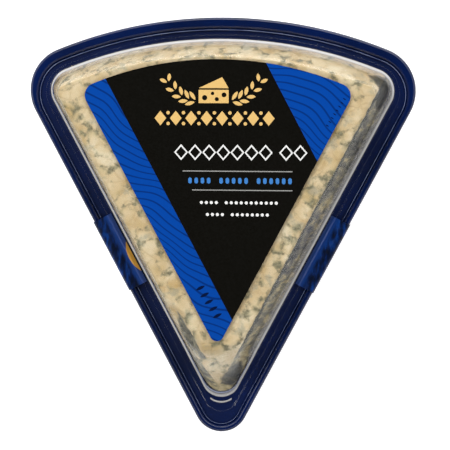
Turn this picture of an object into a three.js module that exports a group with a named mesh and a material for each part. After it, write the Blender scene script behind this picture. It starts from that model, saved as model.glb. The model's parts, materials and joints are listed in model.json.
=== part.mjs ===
// Retail pack of a blue cheese wedge: an opaque thermoformed tray, a clear domed lid in its rim,
// the wedge under the lid, a label on the lid's flat top and a seal across the rim on each side.
// Millimetres, +Z up, +Y from the wedge's tip towards its curved back, tray foot at Z = 0.
import * as THREE from "three";

const { degToRad, lerp, clamp, mapLinear, smoothstep } = THREE.MathUtils;

// Plan of the pack's outer edge
const HALF_ANGLE = degToRad(27.8);
const BACK_RADIUS = 128.2;
const BACK_CENTRE_FROM_APEX = 1.4;
const CORNER_RADIUS = 12.6;
const TIP_RADIUS = 7.9;

// Rim and the ledge inside it, where the lid sits
const SHEET = 0.7;
const RIM_WIDTH = 1.8;
const RIM_HEIGHT = 1.35;
const RIM_BEND = 0.8;
const SKIRT_DEPTH = 2.4;
const LEDGE_HEIGHT = 5;
const LEDGE_TIP_RADIUS = 5.3;
const LEDGE_BEND = 0.3;
const BACK_LEDGE_SHIFT = 1.2;

// Tray below the ledge
const WELL_MOUTH_INSET = 6.9;
const WELL_FLOOR_INSET = 7.6;
const WELL_BEND = 0.4;
const FLOOR_THICKNESS = 1;
const FOOT_BEND = 1;
const PANEL_INSET = 12.6;
const PANEL_RISE = 0.4;
const LEAST_CORNER_RADIUS = 2.4;

// Clear lid
const LID_WALL = 0.5;
const LID_HEIGHT = 17;
const LID_EDGE_INSET = 2.2;
const LID_EDGE_BEND = 0.2;
const DOME_FOOT_INSET = 6.5;
const DOME_FOOT_FILLET = 0.8;
const DOME_TOP_INSET = 10.45;
const DOME_TOP_FILLET = 1;
const DOME_TOP_TIP_RADIUS = 10;
const DOME_FLAT_INSET = 13.5;
const REST_GAP = 0.1;

// Wedge of cheese
const CHEESE_FOOT_INSET = 7.8;
const CHEESE_LEDGE_INSET = 7.2;
const CHEESE_TOP_INSET = 11.15;
const CHEESE_CORNER_RADIUS = 5.6;
const CHEESE_TIP_RADIUS = 5.2;
const CHEESE_TOP_TIP_RADIUS = 10;
const CHEESE_EDGE_RADIUS = 1;
const CHEESE_FLAT_INSET = 6;
const CRUMB_SIZE = 4.5;
const CRUMB_DEPTH = 0.5;
const COARSE_CRUMB_SHARE = 0.65;
const RIND_SMOOTHNESS = 0.7;

// Label on the lid
const LABEL_INSET = 17;
const LABEL_BACK_INSET = 11.7;
const LABEL_BACK_RADIUS = 92.3;
const LABEL_CORNER_RADIUS = 3.5;
const LABEL_TIP_RADIUS = 2;
const LABEL_THICKNESS = 0.2;
const LABEL_SHIFT = 0.6;

// Seals, with their middle's distance from the apex along the pack's side
const SEAL_LENGTH = 22.4;
const SEAL_PLACE = 68.4;
const SEAL_THICKNESS = 0.12;
const SEAL_INNER_INSET = 5.6;
const SEAL_FOLD_HEIGHT = 1.15;
const SEAL_CLEARANCE = 0.2;

const SIN = Math.sin(HALF_ANGLE);
const COS = Math.cos(HALF_ANGLE);
const TIP_FROM_APEX = TIP_RADIUS * (1 / SIN - 1);
const APEX_Y = -(BACK_CENTRE_FROM_APEX + BACK_RADIUS + TIP_FROM_APEX) / 2;
const BACK_CENTRE_Y = APEX_Y + BACK_CENTRE_FROM_APEX;
const LID_FOOT = LEDGE_HEIGHT + REST_GAP;
const CHEESE_FOOT = FLOOR_THICKNESS + REST_GAP;
const CHEESE_HEIGHT = LID_FOOT + LID_HEIGHT - LID_WALL - REST_GAP - CHEESE_FOOT;

// Steps in each stretch of an outline, in a rounded section, and up the wedge's side
const PLASTIC_STEPS = { tip: 10, side: 1, corner: 8, back: 20 };
const CHEESE_STEPS = { tip: 8, side: 26, corner: 7, back: 30 };
const LABEL_STEPS = { tip: 6, side: 1, corner: 6, back: 14 };
const BEND_STEPS = 4;
const CHEESE_LEVELS = 11;

// A wedge with straight sides, a round back and rounded corners, counterclockwise from the tip.
// side and back are insets from the pack's outer edge. Each entry is a point and its outward normal.
function wedge({ side, back = side, corner, tip, backRadius = BACK_RADIUS - back }, steps) {
  const tipY = APEX_Y + (side + tip) / SIN;
  const backCentreY = BACK_CENTRE_Y + BACK_RADIUS - back - backRadius;
  const start = APEX_Y + (side + corner) / SIN - backCentreY;
  const along = Math.sqrt((backRadius - corner) ** 2 - (start * SIN) ** 2) - start * COS;
  const cornerX = along * SIN;
  const cornerY = backCentreY + start + along * COS;
  const turn = Math.atan2(cornerY - backCentreY, cornerX);
  const arc = (x, y, radius, from, to, count) =>
    new THREE.EllipseCurve(x, y, radius, radius, from, to).getPoints(count).map((point) => ({
      point,
      normal: point.clone().sub(new THREE.Vector2(x, y)).divideScalar(radius),
    }));
  const tipArc = arc(0, tipY, tip, HALF_ANGLE - Math.PI, -HALF_ANGLE, steps.tip);
  const rightArc = arc(cornerX, cornerY, corner, -HALF_ANGLE, turn, steps.corner);
  const backArc = arc(0, backCentreY, backRadius, turn, Math.PI - turn, steps.back);
  const leftArc = arc(-cornerX, cornerY, corner, Math.PI - turn, Math.PI + HALF_ANGLE, steps.corner);
  return [
    ...tipArc,
    ...between(tipArc.at(-1), rightArc[0], steps.side),
    ...rightArc,
    ...backArc.slice(1),
    ...leftArc.slice(1),
    ...between(leftArc.at(-1), tipArc[0], steps.side),
  ];
}

// The points inside a straight side, without its two ends.
function between(from, to, count) {
  return Array.from({ length: count - 1 }, (_, i) => ({
    point: from.point.clone().lerp(to.point, (i + 1) / count),
    normal: from.normal,
  }));
}

// Rings of equal count joined into one closed body, with the first and the last ring capped.
function loft(rings) {
  const count = rings[0].length;
  const index = [];
  for (let k = 0; k + 1 < rings.length; k++)
    for (let i = 0; i < count; i++) {
      const a = k * count + i;
      const b = k * count + ((i + 1) % count);
      index.push(a, b, b + count, a, b + count, a + count);
    }
  const cap = (ring) =>
    THREE.ShapeUtils.triangulateShape(ring.map((p) => new THREE.Vector2(p.x, p.y)), []);
  const last = (rings.length - 1) * count;
  for (const [a, b, c] of cap(rings[0])) index.push(a, c, b);
  for (const [a, b, c] of cap(rings.at(-1))) index.push(last + a, last + b, last + c);
  return new THREE.BufferGeometry().setFromPoints(rings.flat()).setIndex(index);
}

// A section given by [inset, height, radius] corners, with each corner rounded to its radius.
function rounded(corners) {
  return corners.flatMap(([inset, height, radius], i) => {
    const here = new THREE.Vector2(inset, height);
    if (!radius) return [here];
    const before = new THREE.Vector2(...corners[i - 1]).sub(here).normalize();
    const after = new THREE.Vector2(...corners[i + 1]).sub(here).normalize();
    const half = before.angleTo(after) / 2;
    const middle = before.clone().add(after).normalize();
    const centre = here.clone().addScaledVector(middle, radius / Math.sin(half));
    const from = here.clone().addScaledVector(before, radius / Math.tan(half)).sub(centre);
    const sweep = (Math.PI - 2 * half) * Math.sign(after.cross(before));
    return Array.from({ length: BEND_STEPS + 1 }, (_, k) =>
      from.clone().rotateAround(new THREE.Vector2(), (sweep * k) / BEND_STEPS).add(centre),
    );
  });
}

const toRing = (outline, z) => outline.map(({ point }) => new THREE.Vector3(point.x, point.y, z));

// Along the back the ledge starts a little further in than along the sides.
function backInset(inset) {
  const grown = clamp(inset / RIM_WIDTH, 0, 1);
  const left = clamp(mapLinear(inset, LID_EDGE_INSET, DOME_FOOT_INSET, 1, 0), 0, 1);
  return inset + BACK_LEDGE_SHIFT * grown * left;
}

const cornerAt = (inset) => Math.max(CORNER_RADIUS - inset, LEAST_CORNER_RADIUS);
const tipAt = (inset) => Math.max(TIP_RADIUS - inset, LEDGE_TIP_RADIUS);

// The tray's sheet from the raised panel under its floor, out over the rim and in to the floor.
function trayGeometry() {
  const rimTop = LEDGE_HEIGHT + RIM_HEIGHT;
  const rimHollow = rimTop - 1.5 * SHEET;
  const ledgeUnder = LEDGE_HEIGHT - SHEET;
  const skirtFoot = LEDGE_HEIGHT - SKIRT_DEPTH;
  const section = rounded([
    [PANEL_INSET + PANEL_RISE, PANEL_RISE, 0],
    [PANEL_INSET, 0, 0],
    [WELL_FLOOR_INSET - SHEET / 2, 0, FOOT_BEND],
    [WELL_MOUTH_INSET - SHEET, ledgeUnder, LEDGE_BEND],
    [RIM_WIDTH - SHEET / 2, ledgeUnder, LEDGE_BEND],
    [RIM_WIDTH - SHEET, rimHollow, 0],
    [SHEET, rimHollow, 0],
    [SHEET, skirtFoot, 0],
    [0, skirtFoot, 0],
    [0, rimTop, RIM_BEND],
    [RIM_WIDTH, rimTop, RIM_BEND],
    [RIM_WIDTH, LEDGE_HEIGHT, LEDGE_BEND],
    [WELL_MOUTH_INSET, LEDGE_HEIGHT, WELL_BEND],
    [WELL_FLOOR_INSET, FLOOR_THICKNESS, WELL_BEND],
    [WELL_FLOOR_INSET + 2 * WELL_BEND, FLOOR_THICKNESS, 0],
  ]);
  const ringAt = ({ x: inset, y: z }) => {
    const shape = { side: inset, back: backInset(inset), corner: cornerAt(inset), tip: tipAt(inset) };
    return toRing(wedge(shape, PLASTIC_STEPS), z);
  };
  return loft(section.map(ringAt));
}

// The lid's sheet from under the dome's top, down and out to the flange's edge, and back over it.
// From foot to top the dome's corners grow sharper and its tip rounder.
function lidGeometry() {
  const section = rounded([
    [DOME_FLAT_INSET, LID_HEIGHT - LID_WALL, 0],
    [DOME_TOP_INSET + LID_WALL, LID_HEIGHT - LID_WALL, DOME_TOP_FILLET - LID_WALL],
    [DOME_FOOT_INSET + LID_WALL, 0, DOME_FOOT_FILLET + LID_WALL],
    [LID_EDGE_INSET, 0, 0],
    [LID_EDGE_INSET, LID_WALL, LID_EDGE_BEND],
    [DOME_FOOT_INSET, LID_WALL, DOME_FOOT_FILLET],
    [DOME_TOP_INSET, LID_HEIGHT, DOME_TOP_FILLET],
    [DOME_FLAT_INSET, LID_HEIGHT, 0],
  ]);
  const ringAt = ({ x: inset, y: z }) => {
    const rise = clamp(mapLinear(z, LID_WALL, LID_HEIGHT, 0, 1), 0, 1);
    const corner = lerp(cornerAt(inset), LEAST_CORNER_RADIUS, rise);
    const tip = lerp(tipAt(inset), DOME_TOP_TIP_RADIUS, rise);
    return toRing(wedge({ side: inset, back: backInset(inset), corner, tip }, PLASTIC_STEPS), z);
  };
  return loft(section.map(ringAt));
}

// Smooth seeded noise from 0 to 1 over a lattice that closes on itself along u.
function latticeNoise(columns, rows, seed) {
  let state = seed;
  const random = () => {
    state = (state * 16807) % 2147483647;
    return state / 2147483647;
  };
  const lattice = Array.from({ length: rows + 1 }, () => Array.from({ length: columns }, random));
  const at = (column, row) => lattice[Math.min(row, rows)][column % columns];
  return (u, v) => {
    const [x, y] = [u * columns, v * rows];
    const [i, j] = [Math.floor(x), Math.floor(y)];
    const [s, t] = [smoothstep(x - i, 0, 1), smoothstep(y - j, 0, 1)];
    return lerp(lerp(at(i, j), at(i + 1, j), s), lerp(at(i, j + 1), at(i + 1, j + 1), s), t);
  };
}

// Where the wedge has crumbled: a place in plan, its reach, its depth and its share of the height.
// The first is the worn right back corner, two are a broken top edge left of the tip, and the last
// two leave the tip a narrow ridge.
const BREAKS = [
  { x: 50, y: 38, reach: 9, depth: 1.2, from: 0, to: 0.85 },
  { x: -8.5, y: -25, reach: 9, depth: 2.2, from: 0.75, to: 1 },
  { x: -4.5, y: -33, reach: 8, depth: 2, from: 0.7, to: 1 },
  { x: 6.5, y: -39, reach: 10, depth: 1.8, from: 0.3, to: 1 },
  { x: -4, y: -43, reach: 6, depth: 0.8, from: 0.3, to: 1 },
];
const BREAK_SOFTNESS = 0.15;

function breakDepth(point, share) {
  return BREAKS.reduce((sum, { x, y, reach, depth, from, to }) => {
    const near = 1 - point.distanceToSquared(new THREE.Vector2(x, y)) / reach ** 2;
    const above = smoothstep(share, from - BREAK_SOFTNESS, from);
    const below = 1 - smoothstep(share, to, to + BREAK_SOFTNESS);
    return sum + depth * Math.max(near, 0) * above * below;
  }, 0);
}

// The wedge's outline at a height over its foot: it widens with the well, then leans with the dome.
function cheeseOutline(z, edge) {
  const ledge = LEDGE_HEIGHT - CHEESE_FOOT;
  const filled = clamp(z / ledge, 0, 1);
  const lean = clamp(mapLinear(z, ledge, CHEESE_HEIGHT, 0, 1), 0, 1);
  const inset = lerp(lerp(CHEESE_FOOT_INSET, CHEESE_LEDGE_INSET, filled), CHEESE_TOP_INSET, lean);
  const corner = lerp(CHEESE_CORNER_RADIUS, LEAST_CORNER_RADIUS, lean);
  const tip = lerp(CHEESE_TIP_RADIUS, CHEESE_TOP_TIP_RADIUS, lean);
  return wedge({ side: inset + edge, corner, tip }, CHEESE_STEPS);
}

// The wedge has crumbly cut sides, a smoother rind along its back, and a flat top and foot.
function cheeseGeometry() {
  const columns = Math.round((2 * (BACK_RADIUS + CHEESE_HEIGHT)) / CRUMB_SIZE);
  const rows = Math.round(CHEESE_HEIGHT / CRUMB_SIZE);
  const coarse = latticeNoise(columns, rows, 20731);
  const fine = latticeNoise(2 * columns, 2 * rows, 4409);
  const flatAt = (z) => toRing(cheeseOutline(z, CHEESE_FLAT_INSET), z);
  const ringAt = (z, edge) => {
    const share = z / CHEESE_HEIGHT;
    return cheeseOutline(z, edge).map(({ point, normal }, i, outline) => {
      const u = i / outline.length;
      const crumb = lerp(fine(u, share), coarse(u, share), COARSE_CRUMB_SHARE);
      const roughness = 1 - RIND_SMOOTHNESS * Math.max(normal.y, 0);
      const depth = CRUMB_DEPTH * roughness * crumb + breakDepth(point, share);
      return new THREE.Vector3(point.x - normal.x * depth, point.y - normal.y * depth, z);
    });
  };
  const top = CHEESE_HEIGHT - CHEESE_EDGE_RADIUS;
  const halfTurned = CHEESE_EDGE_RADIUS * (1 - Math.SQRT1_2);
  const levels = Array.from({ length: CHEESE_LEVELS }, (_, k) =>
    lerp(CHEESE_EDGE_RADIUS, top, k / (CHEESE_LEVELS - 1)),
  );
  return loft([
    flatAt(0),
    ringAt(0, CHEESE_EDGE_RADIUS),
    ...levels.map((z) => ringAt(z, 0)),
    ringAt(CHEESE_HEIGHT - halfTurned, halfTurned),
    ringAt(CHEESE_HEIGHT, CHEESE_EDGE_RADIUS),
    flatAt(CHEESE_HEIGHT),
  ]);
}

function labelGeometry() {
  const outline = wedge(
    {
      side: LABEL_INSET,
      back: LABEL_BACK_INSET,
      backRadius: LABEL_BACK_RADIUS,
      corner: LABEL_CORNER_RADIUS,
      tip: LABEL_TIP_RADIUS,
    },
    LABEL_STEPS,
  );
  return loft([toRing(outline, 0), toRing(outline, LABEL_THICKNESS)]);
}

// A seal's film by inset from the pack's side and height over the ledge: from the dome's foot over
// a low fold and the rim, and down the skirt. Its outward side lies along X.
function sealGeometry() {
  const crest = RIM_HEIGHT + SEAL_CLEARANCE;
  const film = rounded([
    [SEAL_INNER_INSET, LID_WALL + 2 * SEAL_CLEARANCE, 0],
    [SEAL_INNER_INSET - 1, SEAL_FOLD_HEIGHT, 0.5],
    [RIM_WIDTH + 1, SEAL_FOLD_HEIGHT - SEAL_CLEARANCE, 0.8],
    [RIM_WIDTH - 0.4, crest, RIM_BEND],
    [-SEAL_CLEARANCE, crest, RIM_BEND],
    [-SEAL_CLEARANCE, SEAL_CLEARANCE - SKIRT_DEPTH, 0],
  ]).map(({ x, y }) => new THREE.Vector2(-x, y));
  const underside = film.map((point, i) => {
    const run = film[Math.min(i + 1, film.length - 1)].clone().sub(film[Math.max(i - 1, 0)]);
    const inward = new THREE.Vector2(run.y, -run.x).normalize();
    return point.clone().addScaledVector(inward, SEAL_THICKNESS);
  });
  const section = new THREE.Shape([...film, ...underside.reverse()]);
  const shape = new THREE.ExtrudeGeometry(section, { depth: SEAL_LENGTH, bevelEnabled: false });
  return shape.translate(0, 0, -SEAL_LENGTH / 2);
}

const plastic = (color, roughness, more = {}) =>
  new THREE.MeshStandardMaterial({ color, roughness, metalness: 0, ...more });
const TRAY_BLUE = plastic(0x0e2150, 0.3);
const LID_CLEAR = plastic(0xeef2f4, 0.08, { transparent: true, opacity: 0.25 });
const CREAM_PASTE = plastic(0xd2bd92, 0.6);
const LABEL_BLACK = plastic(0x12110b, 0.45);
const SEAL_BLUE = plastic(0x14367f, 0.35);

function piece(name, geometry, material, x = 0, z = 0) {
  const mesh = new THREE.Mesh(geometry, material);
  mesh.name = name;
  mesh.position.set(x, 0, z);
  return mesh;
}

// side is -1 for the pack's left and 1 for its right.
function seal(name, side) {
  const outward = new THREE.Vector3(side * COS, -SIN, 0);
  const up = new THREE.Vector3(0, 0, 1);
  const basis = new THREE.Matrix4().makeBasis(outward, up, outward.clone().cross(up));
  const mesh = piece(name, sealGeometry(), SEAL_BLUE);
  mesh.quaternion.setFromRotationMatrix(basis);
  mesh.position.set(side * SIN * SEAL_PLACE, APEX_Y + COS * SEAL_PLACE, LEDGE_HEIGHT);
  return mesh;
}

const pack = new THREE.Group();
pack.add(piece("tray", trayGeometry(), TRAY_BLUE));
pack.add(piece("lid", lidGeometry(), LID_CLEAR, 0, LID_FOOT));
pack.add(piece("cheese", cheeseGeometry(), CREAM_PASTE, 0, CHEESE_FOOT));
pack.add(piece("label", labelGeometry(), LABEL_BLACK, LABEL_SHIFT, LID_FOOT + LID_HEIGHT + REST_GAP / 2));
pack.add(seal("seal_left", -1));
pack.add(seal("seal_right", 1));

export default pack;
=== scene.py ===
# A retail pack of blue cheese: an opaque blue tray, a clear domed lid, the wedge under it, a
# printed label on the lid and a seal over the rim on each side. Sizes below are in millimetres.
import json
import math

import bmesh
import bpy
from mathutils import Matrix, Vector

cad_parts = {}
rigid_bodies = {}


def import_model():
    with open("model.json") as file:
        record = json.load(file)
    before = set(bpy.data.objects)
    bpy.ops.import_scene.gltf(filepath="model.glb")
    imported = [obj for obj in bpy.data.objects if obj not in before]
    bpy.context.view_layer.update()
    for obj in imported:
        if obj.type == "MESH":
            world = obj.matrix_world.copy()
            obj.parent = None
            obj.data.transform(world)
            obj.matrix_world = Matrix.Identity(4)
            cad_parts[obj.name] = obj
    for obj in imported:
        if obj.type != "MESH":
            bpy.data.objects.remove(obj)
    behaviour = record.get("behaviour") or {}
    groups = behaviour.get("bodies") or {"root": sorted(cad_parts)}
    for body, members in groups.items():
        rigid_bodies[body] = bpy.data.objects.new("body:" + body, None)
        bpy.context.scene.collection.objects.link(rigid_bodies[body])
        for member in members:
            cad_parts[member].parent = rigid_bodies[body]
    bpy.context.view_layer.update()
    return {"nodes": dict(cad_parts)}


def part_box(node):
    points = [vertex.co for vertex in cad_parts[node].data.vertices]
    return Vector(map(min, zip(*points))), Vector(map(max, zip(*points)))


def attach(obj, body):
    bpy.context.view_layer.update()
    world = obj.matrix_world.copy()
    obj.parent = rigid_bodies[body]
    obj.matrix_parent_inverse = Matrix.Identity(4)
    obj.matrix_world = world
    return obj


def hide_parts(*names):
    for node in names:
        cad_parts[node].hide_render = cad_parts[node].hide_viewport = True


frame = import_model()

MM = 0.001
UP = Vector((0, 0, 1))


def node_box(name):
    """The lowest and highest corner of a CAD node, in millimetres."""
    return [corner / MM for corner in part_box(name)]


# Plan of the pack's outer edge
HALF_ANGLE = math.radians(27.8)
SIN, COS = math.sin(HALF_ANGLE), math.cos(HALF_ANGLE)
BACK_RADIUS = 128.2
CORNER_RADIUS = 12.6
TIP_RADIUS = 7.9
APEX_Y = node_box("tray")[0].y - TIP_RADIUS * (1 / SIN - 1)
BACK_CENTRE_Y = node_box("tray")[1].y - BACK_RADIUS

# Levels
RIM_TOP = node_box("tray")[1].z
LID_FOOT = node_box("lid")[0].z
LID_TOP = node_box("lid")[1].z
LABEL_FOOT = node_box("label")[0].z
LABEL_TOP = node_box("label")[1].z

# Tray
SHEET = 0.7
RIM_WIDTH = 1.8
RIM_HEIGHT = 1.35
RIM_BEND = 0.8
SKIRT_DEPTH = 2.4
LEDGE = RIM_TOP - RIM_HEIGHT
LEDGE_TIP_RADIUS = 5.3
LEDGE_BEND = 0.3
BACK_LEDGE_SHIFT = 1.2
WELL_MOUTH_INSET = 6.9
WELL_FLOOR_INSET = 7.6
WELL_BEND = 0.4
FLOOR_THICKNESS = 1
FOOT_BEND = 1
PANEL_INSET = 12.6
PANEL_RISE = 0.4
LEAST_CORNER_RADIUS = 2.4

# Clear lid
LID_WALL = 0.5
LID_EDGE_INSET = 2.2
LID_EDGE_BEND = 0.2
DOME_FOOT_INSET = 6.5
DOME_FOOT_FILLET = 0.8
DOME_TOP_INSET = 10.45
DOME_TOP_FILLET = 0.7
DOME_TOP_TIP_RADIUS = 10
FLAT_TOP_INSET = DOME_TOP_INSET + 3
# Its flange's two beads, by inset and height. Round the tip the inner one's flank is painted white,
# as a painted highlight.
OUTER_BEAD = (4.3, 0.146)
INNER_BEAD = (5.6, 0.06)
BEAD_WIDTH = 0.5
TIP_GLINT_HALF_WIDTH = 3.5
# A face of the cut edge leans, so its normal rises less than this
CUT_EDGE_RISE = 0.97
# The share of light that the clear sheet mirrors, seen face on and edge on
MIRROR_FACE_ON = 0.032
MIRROR_EDGE_ON = 0.3
# The hazy white band round the dome's foot, partly real haze and partly painted glow. On the tip,
# between two places along Y, it grows this much lower and fainter.
HAZE_AND_GLOW = 0.62
HAZE_AND_GLOW_HEIGHT = 7
TIP_HAZE_AND_GLOW_ALONG = (-36, -41)
TIP_HAZE_AND_GLOW_LOWER = 3.2
TIP_HAZE_AND_GLOW_FAINTER = 0.8

# Label
LABEL_INSET = 17
LABEL_BACK_INSET = 11.7
LABEL_BACK_RADIUS = 92.3
LABEL_CORNER_RADIUS = 3.5
LABEL_TIP_RADIUS = 2
LABEL_SHIFT = 0.6
# Its black field lies between two lines along the pack's left side
LEFT_INWARD = Vector((COS, SIN, 0))
BLACK_FROM = 25.3
BLACK_TO = 67.2
STRIPE_PITCH = 2.2

# Seals: how long one is along the rim, and how far its middle lies from the apex
SEAL_LENGTH = 22.4
SEAL_PLACE = 68.4
SEAL_THICKNESS = 0.12
SEAL_CLEARANCE = 0.2
SEAL_INNER_INSET = 5.6
# The fold over the lid's edge, by inset, height over the ledge and bend
SEAL_FOLD = ((4.75, 1.5, 0.3), (4.3, 1.24, 0.3), (2.8, 1.15, 0.8))
SEAL_CREST_INSET = 1.4
SEAL_LONGEST_BEND = 0.6
# An edge this near to a fold's line lies on it
FOLD_REACH = 0.01
# The brushed waves of its print end between two insets
SEAL_PLAIN_INSETS = (2.8, 3.9)
# A gold disc is printed at the left seal, mostly off its end
GOLD_DISC = Vector((-19.1, -5.4))
GOLD_DISC_RADIUS = 8.8
GOLD_DISC_BLUR = 0.05

# Crumbs of the cheese: the pattern's size, how deep it goes and the level that stays in place
CRUMBS = ((4, 1, 0.3), (1.5, 0.5, 0.45))
CRUMB_VOXEL = 0.55
# The CAD form is spread this much, and then pressed back into the space under the lid
CHEESE_SPREAD = 1.022
# The cracks between crumbs, and the mould along them with its pale fringe
CRUMB_SIZE = 4.2
CRACK_WANDER = 2.4
VEIN_WIDTH = 2.2
FRINGE_WIDTH = 4
# Smears on its sides, by inset, and the tip's along Y: where one starts to show and where it
# covers the paste
SMEAR_UNEVENNESS = 1.1
SMEAR_LIMITS = {
    "right": (11.1, 10.7),
    "left": (12.8, 12.4),
    "foot": (10.4, 10),
    "tip": (-34, -38),
}
# Round patches, of smear and of dark mould with painted shade, by middle, raggedness and the same
# pair as distances from the middle
ROUND_SMEARS_AND_SHADE = {
    "left_patch": ((-7.1, -30.8, 21.5), 1, (9.5, 8)),
    "corner_mould_and_shade": ((46, 39.5, 11), 3.5, (6.2, 4.6)),
    "tip_mould_and_shade": ((4.6, -43, 9), 4, (5, 3.4)),
}
# The painted shade line along the right side under the top edge, by inset: where it starts, is full,
# is full still and ends
SHADE_LINE_INSETS = (10.1, 10.45, 10.7, 11)
SHADE_LINE_SPAN = 20
# The space that the cheese fills, by inset, height and bend radius: the well, the flare where the
# lid bends over the ledge, and the dome
CHEESE_SPACE = {
    "foot": (7.8, 1.1, 0),
    "well_mouth": (7.1, 4.9, 0),
    "flare_low": (6.65, 5.1, 0),
    "flare_high": (7.3, 6.2, 0),
    "top": (11.05, 21.5, 0),
}

# Print on the label, whose film ends just under the label's top
PRINT_THICKNESS = 0.03
PRINT_FOOT = LABEL_TOP - PRINT_THICKNESS
CURVE_STEPS = 6
GOLD_INK = "#d3ae6c"
EMBLEM = Vector((-0.25, 39.6))
WEDGE_FRONT = ((-4.2, -3.2), (4.2, -3.2), (4.2, 0.5), (-4.2, 0.5))
WEDGE_TOP = ((-4.2, 0.95), (4.2, 0.95), (2.4, 4))
WEDGE_HOLES = ((-2.5, -1.7, 0.75), (-0.3, -0.5, 0.5), (0.9, -2.1, 0.6), (2.9, -0.9, 0.7))
# A sprig's pairs of leaves: the first one's place beside the wedge, and how the next ones go on
SPRIG_PAIRS = 5
SPRIG_START = Vector((5.2, -2.6))
SPRIG_PITCH = 1.9
SPRIG_RISE = 0.33
SPRIG_LEAN = 20
SPRIG_TURN = 10
LEAF_LENGTH = 2.9
LEAF_SHORTER = 0.16
LEAF_WIDTH = 1.05
LEAF_SPREAD = 36
LEAF_APART = 0.28
# Rows of marks along X: the first one's place, the pitch, and how many are in each group
BAND_LOZENGES = (-15.2, 4.33, (8,))
BAND_DOTS = (-13.03, 4.33, (7,))
FRAME_GROUPS = ((-9.4, 3.95, (7,)), (20, 3.95, (2,)))
BARS = (-6.9, 1.75, (4, 5, 6))
# Rows of dots, each after its place along Y
DOT_ROWS = ((8.65, (-3.7, 1.4, (4, 11))), (5.3, (-2, 1.4, (4, 8))))
# Places of the other rows along Y, and sizes of the marks
BAND_Y = 32.2
BAND_DOTS_Y = (30.7, 33.7)
FRAMES_Y = 22.7
BARS_Y = 14.8
BAND_LOZENGE_SIZE = (3.3, 4.1)
FRAME_SIZES = ((3.9, 4.5), (2.9, 3.3))
BAND_DOT_RADIUS = 0.5
DOT_RADIUS = 0.45
BAR_SIZE = (1.7, 1)
# Two thin rules, by middle and length
RULES = ((6.4, 17.46, 30.8), (7.75, 12.15, 28.1))
RULE_THICKNESS = 0.27
# Two slanted rows of navy leaves, by count, first place, step, leaf size and angle
NAVY_ROWS = (
    (5, Vector((-5.3, -16.2)), Vector((1.2, -1.95)), (2.9, 0.9), 28),
    (8, Vector((30.9, 30.6)), Vector((0.67, 1.05)), (1.1, 0.3), -33),
)

# Studio, in metres and watts: a ring of soft lamps, strongest at the back left, and a low wide one
# behind, which lights the wedge's round back
FLOOR_SIZE = 4
FLOOR_GLOW = 0.6
SURROUND_GLOW = 0.02
LAMP_TARGET = Vector((0, -0.004, 0.006))
LAMPS = 8
LAMP_REACH = 0.62
LAMP_HEIGHT = 0.52
LAMP_SIZE = (0.45, 0.22)
LAMP_POWER = 1.6
LAMP_BIAS = 0.38
LAMP_STRONGEST_FROM = Vector((-0.4, 0.92, 0))
BACK_LAMP_PLACE = Vector((0.04, 0.6, 0.26))
BACK_LAMP_SIZE = (0.7, 0.3)
BACK_LAMP_POWER = 1.8

# Camera: its distance in metres, its lean to the right and to the back in degrees, the sensor's
# width and a pixel of the picture on the ledge in millimetres, and a point and the pixel it is at
CAMERA_DISTANCE = 0.5
CAMERA_LEAN = (6.12, 6.6)
SENSOR_WIDTH = 36
PIXEL = 0.29
HALF_PICTURE = 225
SEEN_POINT = Vector((0, APEX_Y + 65, LEDGE + 0.5))
SEEN_PIXEL = (221, 241.8)

# Steps along an outline and round a bend
TIP_STEPS = 24
CORNER_STEPS = 18
BACK_STEPS = 48
BEND_STEPS = 5
# Outlines of one section are drawn this much apart in height, or those at one height join crossed
HAIR = 0.001
# A vertex with more than this weight is on an outline itself, not on what rounds its bend
ON_RING = 0.999
# Points nearer than this are one point
SAME_POINT = 0.002


def clamp(value, low, high):
    return max(low, min(high, value))


def new_piece(name):
    """An empty mesh object at the origin, open in edit mode with vertices to select."""
    bpy.ops.object.select_all(action="DESELECT")
    bpy.ops.mesh.primitive_plane_add(enter_editmode=True)
    bpy.ops.mesh.select_mode(type="VERT")
    bpy.ops.mesh.delete(type="VERT")
    piece = bpy.context.edit_object
    piece.name = piece.data.name = name
    return piece


def select_where(kind, test):
    """Selects, in edit mode, the verts, edges or faces that pass a test and nothing else."""
    bpy.ops.mesh.select_mode(type=kind[:-1].upper())
    bpy.ops.mesh.select_all(action="DESELECT")
    mesh = bmesh.from_edit_mesh(bpy.context.edit_object.data)
    for item in getattr(mesh, kind):
        if test(item):
            item.select_set(True)
    mesh.select_flush_mode()
    bmesh.update_edit_mesh(bpy.context.edit_object.data)


def ring_weight(*names):
    """Tells how much a vertex belongs to named outlines: 1 on them, and less on what the rounding
    of a bend adds."""
    piece = bpy.context.edit_object
    weights = bmesh.from_edit_mesh(piece.data).verts.layers.deform.verify()
    groups = [piece.vertex_groups[name].index for name in names]
    return lambda vert: max(vert[weights].get(group, 0) for group in groups)


def select_rings(*names):
    weight = ring_weight(*names)
    select_where("verts", lambda vert: weight(vert) > ON_RING)


def extrude(x, y, z=0):
    bpy.ops.mesh.extrude_region_move(TRANSFORM_OT_translate={"value": (x * MM, y * MM, z * MM)})


def start_point(x, y, z):
    """A lone selected vertex."""
    bpy.ops.mesh.primitive_circle_add(vertices=3, radius=MM, location=(x * MM, y * MM, z * MM))
    bpy.ops.mesh.merge(type="CENTER")


def spin(x, y, z, angle, steps):
    """Draws an arc from the selected vertex, counterclockwise from above."""
    bpy.ops.mesh.spin(steps=steps, angle=angle, center=(x * MM, y * MM, z * MM), axis=-UP)


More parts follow.
